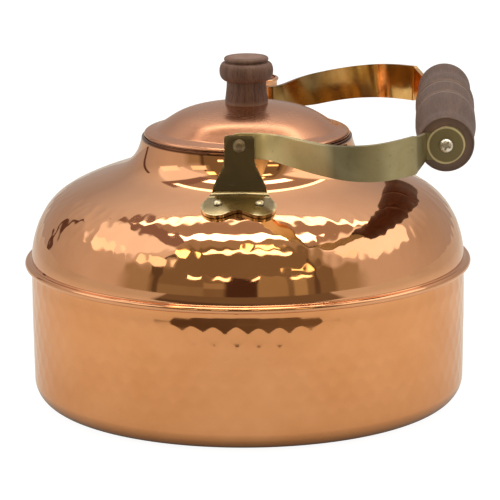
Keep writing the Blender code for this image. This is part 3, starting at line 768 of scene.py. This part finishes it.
def build_knob():
    """Turned knob: a capped bulb on a stem, bored from below for its screw."""
    outline = [(0.0, KNOB_TOP), (4.5 * MM, KNOB_TOP - 0.06 * MM), (8.6 * MM, 152.0 * MM)]
    outline += arc((8.7 * MM, 151.0 * MM), 1.0 * MM, 80, -35, 8)
    outline += [(9.2 * MM, 149.95 * MM), (9.3 * MM, 149.7 * MM), (10.0 * MM, 149.6 * MM)]
    outline += span(KNOB_BULB, 14) + span(KNOB_UNDERCUT, 6)[1:]
    outline += [(8.7 * MM, 141.3 * MM), (8.6 * MM, 141.0 * MM)]
    outline += span(KNOB_STEM, 10)
    outline += [(9.3 * MM, KNOB_BASE - KNOB_SEAT), (KNOB_BORE, KNOB_BASE - KNOB_SEAT)]
    outline += [(KNOB_BORE, 143.3 * MM), (0.0, 143.6 * MM)]
    mesh = grid_mesh("knob", revolve(outline, KNOB_ROUND))
    mesh.set_sharp_from_angle(angle=math.radians(50))
    add_piece("knob", mesh, KNOB_WOOD, "lid", "wood", "lid_knob")


# Bent sheet pieces


def stations(low, high, step):
    count = max(1, round((high - low) / step))
    return [low + (high - low) * i / count for i in range(1, count)]


def bent_sheet(name, outline, across, along, place):
    """A flat outline of (across, along) points, sliced at the given stations and bent."""
    bm = bmesh.new()
    bm.faces.new([bm.verts.new((x, s, 0.0)) for x, s in outline])
    slices = [(Vector((x, 0, 0)), Vector((1, 0, 0))) for x in across]
    slices += [(Vector((0, s, 0)), Vector((0, 1, 0))) for s in along]
    for point, normal in slices:
        everything = bm.verts[:] + bm.edges[:] + bm.faces[:]
        bmesh.ops.bisect_plane(bm, geom=everything, dist=1e-7, plane_co=point, plane_no=normal)
    for vert in bm.verts:
        vert.co = place(vert.co.x, vert.co.y)
    mesh = bpy.data.meshes.new(name)
    bm.to_mesh(mesh)
    bm.free()
    mesh.shade_smooth()
    return mesh


def thicken(obj, thickness, edge):
    solidify = obj.modifiers.new("sheet", "SOLIDIFY")
    solidify.thickness = thickness
    solidify.offset = 0.0
    solidify.use_even_offset = True
    bevel = obj.modifiers.new("rolled edges", "BEVEL")
    bevel.width = edge
    bevel.segments = 3
    bevel.limit_method = "ANGLE"
    bevel.angle_limit = math.radians(50)
    bevel.harden_normals = True


def ear_outline():
    """A plain top that flares out to the bend, then two round lobes with a dip between."""
    upright = EAR_TOP - EAR_BEND
    flare = EAR_TOP - EAR_FLARE_START
    right = arc((EAR_HALF - EAR_CORNER, EAR_CORNER), EAR_CORNER, -90, 0, 6)
    for i in range(16):
        along = flare + (upright - flare) * i / 15
        half = EAR_HALF + (EAR_BEND_HALF - EAR_HALF) * float(smoothstep(along, flare, upright))
        right.append((half, along))
    lobe = (LOBE_SPREAD, upright + LOBE_REACH + LOBE_DROP)
    right += arc(lobe, LOBE_RADIUS, -35, 112, 24)
    right.append((1.5 * MM, lobe[1] + 3.9 * MM))
    between_lobes = (0.0, lobe[1] + 3.5 * MM)
    return right + [between_lobes] + [(-x, s) for x, s in reversed(right)]


def ear_sheet(x, along):
    """The ear's mid-sheet with a sharp bend: a plain upright and a foot that follows the dome."""
    upright = EAR_TOP - EAR_BEND
    radius = EAR_FACE - EAR_SHEET / 2
    if along <= upright:
        return Vector((x, -radius, EAR_TOP - along))
    reach = along - upright
    y = radius + reach * math.cos(dome_slope(radius + reach / 2))
    lift = (GAP + EAR_SHEET / 2) / math.cos(dome_slope(y))
    settle = 1.0 - float(smoothstep(reach, 0.0, 3.0 * MM))
    height = dome_height(math.hypot(x, y)) + lift
    bend = EAR_BEND - dome_height(math.hypot(x, radius)) - lift
    return Vector((x, -y, height + settle * bend))


def place_ear(x, along):
    """The ear's mid-sheet, rounded where it bends."""
    upright = EAR_TOP - EAR_BEND
    share = (along - upright + EAR_ROUNDING) / (2 * EAR_ROUNDING)
    if not 0.0 < share < 1.0:
        return ear_sheet(x, along)
    above, corner, below = [ear_sheet(x, upright + d) for d in (-EAR_ROUNDING, 0.0, EAR_ROUNDING)]
    return above * (1 - share) ** 2 + corner * 2 * share * (1 - share) + below * share**2


def build_ear(end, facing):
    upright = EAR_TOP - EAR_BEND
    foot_end = upright + LOBE_REACH + LOBE_DROP + LOBE_RADIUS
    wide = LOBE_SPREAD + LOBE_RADIUS
    across = stations(-wide, wide, 1.6 * MM)
    along = stations(0.0, upright - 2 * MM, 2.0 * MM)
    along += stations(upright - 2 * MM, upright + 2 * MM, 0.3 * MM)
    along += stations(upright + 2 * MM, foot_end, 1.0 * MM)
    mesh = bent_sheet(end + "_ear_plate", ear_outline(), across, along, place_ear)
    if facing > 0:
        mesh.transform(Matrix.Rotation(math.pi, 4, "Z"))
    obj = add_piece(end + "_ear_plate", mesh, EAR_BRASS, "kettle", "brass", end + "_ear")
    thicken(obj, EAR_SHEET, 0.5 * MM)


# The band's middle seen from above, as (reach, distance from the kettle's middle): each curve
# and its steps. It leaves the ear, bulges out round the dome, turns a corner and joins the grip.
STRAP_CURVES = (
    (((6.5, 56.1), (11.5, 56.1), (15.3, 63.2), (22.0, 71.5)), 30),
    (((22.0, 71.5), (30.3, 81.7), (40.0, 97.8), (54.0, 97.8)), 40),
    (((54.0, 97.8), (62.0, 97.8), (68.2, 90.6), (72.4, 86.3)), 24),
    (((72.4, 86.3), (73.3, 85.4), (73.7, 84.6), (74.0, 83.4)), 12),
    (((74.0, 83.4), (79.2, 64.6), (76.0, 67.7), (80.6, 67.7)), 40),
)


def strap_path():
    path = [(-5.6 * MM, STRAP_MID), (6.5 * MM, STRAP_MID)]
    for controls, steps in STRAP_CURVES:
        path += span(controls, steps)[1:]
    return path + [(GRIP_REACH + 8.6 * MM, STRAP_END)]


STRAP_LINE = np.array(strap_path())
STRAP_RUN = run_of(STRAP_LINE)


def run_at_reach(reach):
    return float(np.interp(reach, STRAP_LINE[:, 0], STRAP_RUN))


STRAP_PIVOT = run_at_reach(0.0)
STRAP_TURN = run_at_reach(STRAP_CORNER)
STRAP_DISC = run_at_reach(GRIP_REACH)
STRAP_NECK = STRAP_DISC - 6.6 * MM


def strap_point(run):
    reach = float(np.interp(run, STRAP_RUN, STRAP_LINE[:, 0]))
    away = float(np.interp(run, STRAP_RUN, STRAP_LINE[:, 1]))
    return reach, away


def strap_half_width(run):
    """The band broadens soon after it leaves the ear, and then a little more up to its corner."""
    reach, _ = strap_point(run)
    leaving = float(smoothstep(reach, 11 * MM, 28 * MM))
    arriving = float(smoothstep(reach, 24 * MM, 74 * MM))
    return STRAP_NARROW + (STRAP_BROAD - STRAP_NARROW) * (0.65 * leaving + 0.35 * arriving)


def strap_outline():
    """A round pivot end, a band that broadens, a neck past the corner, and a round disc."""
    right = arc((0.0, STRAP_PIVOT), STRAP_NARROW, -90, 0, 18)
    right += [(strap_half_width(s), s) for s in stations(STRAP_PIVOT, STRAP_TURN, 2 * MM)]
    right += [(strap_half_width(STRAP_TURN), STRAP_TURN)]
    for i in range(1, 13):
        share = i / 12
        eased = float(smoothstep(share, -0.4, 1.0))
        taper = STRAP_BROAD + (STRAP_NECK_HALF - STRAP_BROAD) * eased
        right.append((taper, STRAP_TURN + (STRAP_NECK - STRAP_TURN) * share))
    right += arc((0.0, STRAP_DISC), STRAP_DISC_RADIUS, -43, 90, 24)
    return right + [(-x, s) for x, s in reversed(right[1:-1])]


def strap_lean(reach):
    """The band's upper edge leans outwards where it leaves the ear, and stands up at the grip."""
    leaving = float(smoothstep(reach, 10 * MM, 27 * MM))
    arriving = float(smoothstep(reach, 32 * MM, 70 * MM))
    return STRAP_LEAN * leaving * (1.0 - arriving)


def place_strap(facing):
    """Bends a flat strap along its line: it drops at the ear, sags and rises to the grip."""

    def place(x, run):
        reach, away = strap_point(run)
        next_reach, next_away = strap_point(run + 0.3 * MM)
        ahead, aside = next_reach - reach, next_away - away
        length = math.hypot(ahead, aside) or 1.0
        outward = Vector((-aside / length, ahead / length, 0.0))
        lean = strap_lean(reach)
        width = Vector((0, 0, math.cos(lean))) + outward * math.sin(lean)
        share = max(0.0, reach / GRIP_REACH)
        rise = GRIP_RISE * share**3 - STRAP_SAG * math.sin(math.pi * min(1.0, share)) ** 2
        rise -= STRAP_DROP * (1.0 - float(smoothstep(reach, 5 * MM, 22 * MM)))
        point = Vector((reach, away, PIVOT_HEIGHT + rise)) + width * x
        return Vector((point.x, facing * point.y, point.z))

    return place


def build_strap(end, facing):
    along = stations(STRAP_PIVOT - 5.4 * MM, STRAP_DISC + 7.8 * MM, 1.1 * MM)
    across = stations(-8 * MM, 8 * MM, 2.0 * MM)
    mesh = bent_sheet(end + "_band", strap_outline(), across, along, place_strap(facing))
    # The rear strap takes the brass copy tinted amber as a painted reflection
    finish = STRAP_BRASS if facing < 0 else REAR_REFLECTION_BRASS
    obj = add_piece(end + "_band", mesh, finish, "handle", "brass", end + "_strap")
    thicken(obj, STRAP_SHEET, 0.65 * MM)


# Grip


def grip_groove(along):
    return [(r * MM, along + s * MM) for r, s in GROOVE_SHAPE]


def build_grip():
    """Turned grip: two swells either side of a middle between grooves, a little to the rear."""
    edge = arc((GRIP_FACE, GRIP_HALF - GRIP_EDGE), GRIP_EDGE, 90, 10, 6)
    half = [(GRIP_BORE, GRIP_HALF)] + edge
    half += span(GRIP_END_SPAN, 16) + span(GRIP_SWELL_SPAN, 20)[1:]
    near_at, far_at = GRIP_GROOVES
    far = half + line(half[-1], (GRIP_SWELL, far_at + GROOVE_MARGIN), 1.5 * MM)
    near = [(r, -z) for r, z in half]
    near += line(near[-1], (GRIP_SWELL, near_at - GROOVE_MARGIN), 1.5 * MM)
    far_groove = grip_groove(far_at)
    near_groove = grip_groove(near_at)
    middle = line(far_groove[-1], near_groove[0], 1.0 * MM)[:-1]
    outline = far + far_groove + middle + near_groove + near[::-1]
    mesh = grid_mesh("grip_turned", revolve(outline, GRIP_ROUND), closed_rows=True)
    mesh.set_sharp_from_angle(angle=math.radians(50))
    turn = Matrix.Rotation(-math.pi / 2, 4, "X")
    mesh.transform(Matrix.Translation((GRIP_REACH, 0.0, GRIP_HEIGHT)) @ turn)
    add_piece("grip_turned", mesh, GRIP_WOOD, "handle", "wood", "grip")


def small_finish(name):
    if "washer" in name:
        return EAR_BRASS
    if "pivot" in name:
        return PIVOT_BRASS
    if "rivet" in name:
        return NICKEL
    return STEEL


def paint_small_parts():
    """Fasteners, washers and the rod stay as the frame's own pieces, with a finish."""
    for name, obj in frame["nodes"].items():
        if obj.hide_render:
            continue
        obj.data.materials.clear()
        obj.data.materials.append(small_finish(name))
        obj.data.shade_smooth()
        obj.data.set_sharp_from_angle(angle=math.radians(40))


# Studio


def box_mask(g, u, v, left, right, bottom, top, soft):
    """1 inside a box of two coordinates, fading over the soft width at its edges."""
    from_middle = g.math("ABSOLUTE", g.math("SUBTRACT", u, (left + right) / 2))
    from_centre = g.math("ABSOLUTE", g.math("SUBTRACT", v, (bottom + top) / 2))
    across = g.math("SUBTRACT", (right - left) / 2, from_middle)
    up = g.math("SUBTRACT", (top - bottom) / 2, from_centre)
    inside = g.math("MINIMUM", across, up)
    return g.math("ADD", g.math("DIVIDE", inside, soft), 0.5, clamp=True)


# The room behind the camera as the kettle mirrors it: (left, right, bottom, top, softness,
# colour), in degrees of azimuth from the camera's side and of elevation. Each covers those
# before it: walls, then panels, one dark upright patch, more panels, and two thin posts.
ROOM = (
    (-66, 66, -40, 24, 9.0, (0.46, 0.38, 0.25)),
    (-46, 52, 10, 75, 7.0, (0.46, 0.38, 0.25)),
    (-50, 50, -60, 26, 2.5, (0.27, 0.21, 0.12)),
    (-40, 44, 20, 62, 2.5, (0.27, 0.21, 0.12)),
    (-60, 60, -60, -12, 3.0, (0.22, 0.17, 0.105)),
    (-46, -20, -16, 9, 1.5, (0.34, 0.28, 0.17)),
    (-20, -6, 8, 14, 1.0, (0.44, 0.36, 0.21)),
    (-9, 9, -40, 20, 2.5, (0.085, 0.045, 0.03)),
    (8, 24, -9, 22, 1.0, (0.42, 0.34, 0.19)),
    (27, 34, -9, 16, 1.0, (0.52, 0.44, 0.25)),
    (38, 41, -20, 40, 1.0, (0.14, 0.10, 0.06)),
    (-48, -45, -20, 40, 1.0, (0.14, 0.10, 0.06)),
)
# Lamps and bright panels, and last a dark thin post on the left
LAMPS = (
    (-47, -37, 42, 50, 1.5, (6.0, 4.4, 2.0)),
    (-2, 3, 58, 68, 2.0, (6.0, 4.4, 2.1)),
    (12, 30, 60, 67, 2.0, (6.0, 4.6, 2.3)),
    (-29, -23, 17, 20, 0.6, (5.0, 4.2, 2.9)),
    (-16, -7, 17, 20, 0.6, (5.0, 4.2, 2.9)),
    (5, 9, 17, 20, 0.6, (5.0, 4.2, 2.9)),
    (27, 36, 17, 20, 0.6, (4.0, 3.4, 2.2)),
    (26, 38, 26, 29, 1.0, (3.2, 2.6, 1.3)),
    (58, 70, 34, 41, 1.5, (1.8, 1.6, 1.35)),
    (-62, -44, 27, 36, 1.5, (1.9, 1.7, 1.35)),
    (-106, -80, 26, 36, 2.0, (1.9, 1.75, 1.55)),
    (-133, -129, -12, 33, 1.0, (0.13, 0.07, 0.05)),
)
# Overhead: the same columns, in tangents from straight up, across and towards the camera.
# The strips are bright tubes and cover everything else.
CEILING = (
    (-0.64, 0.64, -0.60, 1.0, 0.06, (0.52, 0.42, 0.33)),
    (-1.75, -0.62, -0.58, 0.55, 0.10, (1.38, 1.36, 1.32)),
    (0.62, 2.1, -0.80, 0.50, 0.10, (1.70, 1.66, 1.56)),
    (-0.64, -0.42, -0.75, 0.30, 0.03, (0.34, 0.24, 0.21)),
)
STRIPS = (
    (-0.42, 0.46, -0.02, 0.20, 0.03, (7.5, 7.1, 6.6)),
    (-0.42, 0.46, 0.62, 0.73, 0.03, (5.5, 4.9, 3.4)),
    (-0.52, 0.60, -0.58, -0.46, 0.03, (5.0, 4.6, 4.0)),
)


def overhead(g, color, across, ahead, above, boxes):
    """Adds soft-edged boxes to the part of the room that is above the kettle."""
    for left, right, near, far, soft, tint in boxes:
        mask = box_mask(g, across, ahead, left, right, near, far, soft)
        color = g.mix(g.math("MULTIPLY", mask, above), color, (*tint, 1))
    return color


def studio_world():
    """Plain white to the camera, and a room with windows and lamps for the copper to mirror."""
    world = bpy.data.worlds.new("studio")
    world.use_nodes = True
    bpy.context.scene.world = world
    g = Graph(world.node_tree)
    x, y, z = g.parts(g.node("TexCoord").outputs["Generated"])
    front = g.math("MULTIPLY", y, -1.0)
    azimuth = g.math("DEGREES", g.math("ARCTAN2", x, front))
    elevation = g.math("DEGREES", g.math("ARCSINE", z))
    top = g.math("MAXIMUM", z, 0.05)
    across = g.math("DIVIDE", x, top)
    ahead = g.math("DIVIDE", front, top)
    above = g.ramp(z, 0.0, 0.05)
    low = g.mix(g.ramp(front, -0.9, 0.0), (0.48, 0.43, 0.39, 1), (0.76, 0.68, 0.60, 1))
    high = g.mix(g.ramp(front, -0.6, 0.3), (1.04, 0.99, 0.94, 1), (1.15, 1.08, 1.0, 1))
    color = g.mix(g.ramp(elevation, 22.0, 58.0), low, high)
    color = overhead(g, color, across, ahead, above, CEILING)
    for left, right, bottom, height, soft, tint in ROOM + LAMPS:
        mask = box_mask(g, azimuth, elevation, left, right, bottom, height, soft)
        color = g.mix(mask, color, (*tint, 1))
    color = overhead(g, color, across, ahead, above, STRIPS)
    seen = g.node("LightPath").outputs["Is Camera Ray"]
    room = g.node("Background", {"Color": color, "Strength": 1.0}).outputs[0]
    white = g.node("Background", {"Color": (1, 1, 1, 1), "Strength": 1.0}).outputs[0]
    g.node("OutputWorld", {"Surface": g.blend(seen, room, white)})


# Camera: carried round the kettle by a turn, then its own place, aim and lens
CAMERA_TURN = math.radians(3.1)
CAMERA_PLACE = (0.0, -1.4, 0.3862)
CAMERA_PITCH = math.radians(12.90)
CAMERA_YAW = math.radians(0.04)
CAMERA_ROLL = math.radians(-0.46)
CAMERA_LENS = 234.4
CAMERA_SENSOR = 36.0

# Table: its size, where its front edge is, and how wide the dim gap in front of it opens
FLOOR_SIZE = 12.0
FLOOR_FRONT = -0.342
FLOOR_OPENING = 0.36


def floor_glow(g, x, y):
    """How bright the table is in the kettle: fading with distance, with a painted shadow right
    under it.
    """
    reach = g.distance(x, y)
    aside = g.ramp(g.math("ABSOLUTE", x), 0.06, 0.20, 0.0, 0.09)
    strength = g.math("ADD", g.ramp(reach, 0.098, 0.26, 0.66, 0.77), aside)
    strength = g.math("ADD", strength, g.ramp(x, 0.03, 0.15, 0.0, 0.06))
    strength = g.math("MULTIPLY", strength, g.ramp(reach, 0.25, 0.7, 1.0, 0.68))
    strength = g.math("MULTIPLY", strength, g.ramp(y, 0.0, 0.25, 1.0, 0.80))
    # Painted contact shadow right under the kettle's foot
    return g.math("MULTIPLY", strength, g.ramp(reach, 0.086, 0.103, 0.05, 1.0))


def floor_gap(g, x, y):
    """The dim space past the table's front edge: 1 where it shows, and its colour."""
    beyond = g.math("SUBTRACT", FLOOR_FRONT, y)
    past = g.ramp(beyond, -0.003, 0.003)
    half_width = g.math("ADD", g.math("MULTIPLY", beyond, 0.9), FLOOR_OPENING)
    within = g.ramp(g.math("SUBTRACT", half_width, g.math("ABSOLUTE", x)), -0.03, 0.03)
    dim = g.mix(g.ramp(x, -0.10, 0.16), (0.125, 0.09, 0.062, 1), (0.215, 0.165, 0.11, 1))
    dim = g.mix(g.ramp(beyond, 0.13, 0.19), dim, (0.22, 0.17, 0.105, 1))
    return g.math("MULTIPLY", past, within), dim


def studio_floor():
    """Pale table: white to the camera, and for reflections it ends 25 cm before the kettle."""
    bpy.ops.mesh.primitive_plane_add(size=FLOOR_SIZE, location=(0, 0, -0.02 * MM))
    floor = bpy.context.object
    floor.name = "table"
    material, g = new_material("pale_table")
    facing_camera = g.node("Mapping", {"Vector": g.place(), "Rotation": (0, 0, -CAMERA_TURN)})
    x, y, _ = g.parts(facing_camera.outputs[0])
    ray = g.node("LightPath").outputs
    lit = g.node("BsdfDiffuse", {"Color": (0.86, 0.85, 0.83, 1)}).outputs[0]
    seen = g.blend(0.85, lit, g.glow((1, 1, 1, 1), 1.12))
    table = g.blend(0.75, lit, g.glow((1.0, 0.95, 0.84, 1), floor_glow(g, x, y)))
    gap, dim = floor_gap(g, x, y)
    mirrored = g.blend(g.math("MULTIPLY", gap, ray["Is Glossy Ray"]), table, g.glow(dim, 1.0))
    g.node("OutputMaterial", {"Surface": g.blend(ray["Is Camera Ray"], mirrored, seen)})
    floor.data.materials.append(material)


def studio_camera():
    data = bpy.data.cameras.new("camera")
    data.sensor_width = CAMERA_SENSOR
    data.lens = CAMERA_LENS
    camera = bpy.data.objects.new("camera", data)
    camera.matrix_world = (
        Matrix.Rotation(CAMERA_TURN, 4, "Z")
        @ Matrix.Translation(CAMERA_PLACE)
        @ Matrix.Rotation(-CAMERA_YAW, 4, "Z")
        @ Matrix.Rotation(math.radians(90) - CAMERA_PITCH, 4, "X")
        @ Matrix.Rotation(CAMERA_ROLL, 4, "Z")
    )
    bpy.context.scene.collection.objects.link(camera)
    bpy.context.scene.camera = camera


bpy.context.scene.view_settings.view_transform = "Standard"
build_pan()
build_dome()
build_spout()
build_lid()
build_knob()
for end, facing in (("front", -1), ("rear", 1)):
    build_ear(end, facing)
    build_strap(end, facing)
build_grip()
paint_small_parts()
studio_world()
studio_floor()
studio_camera()
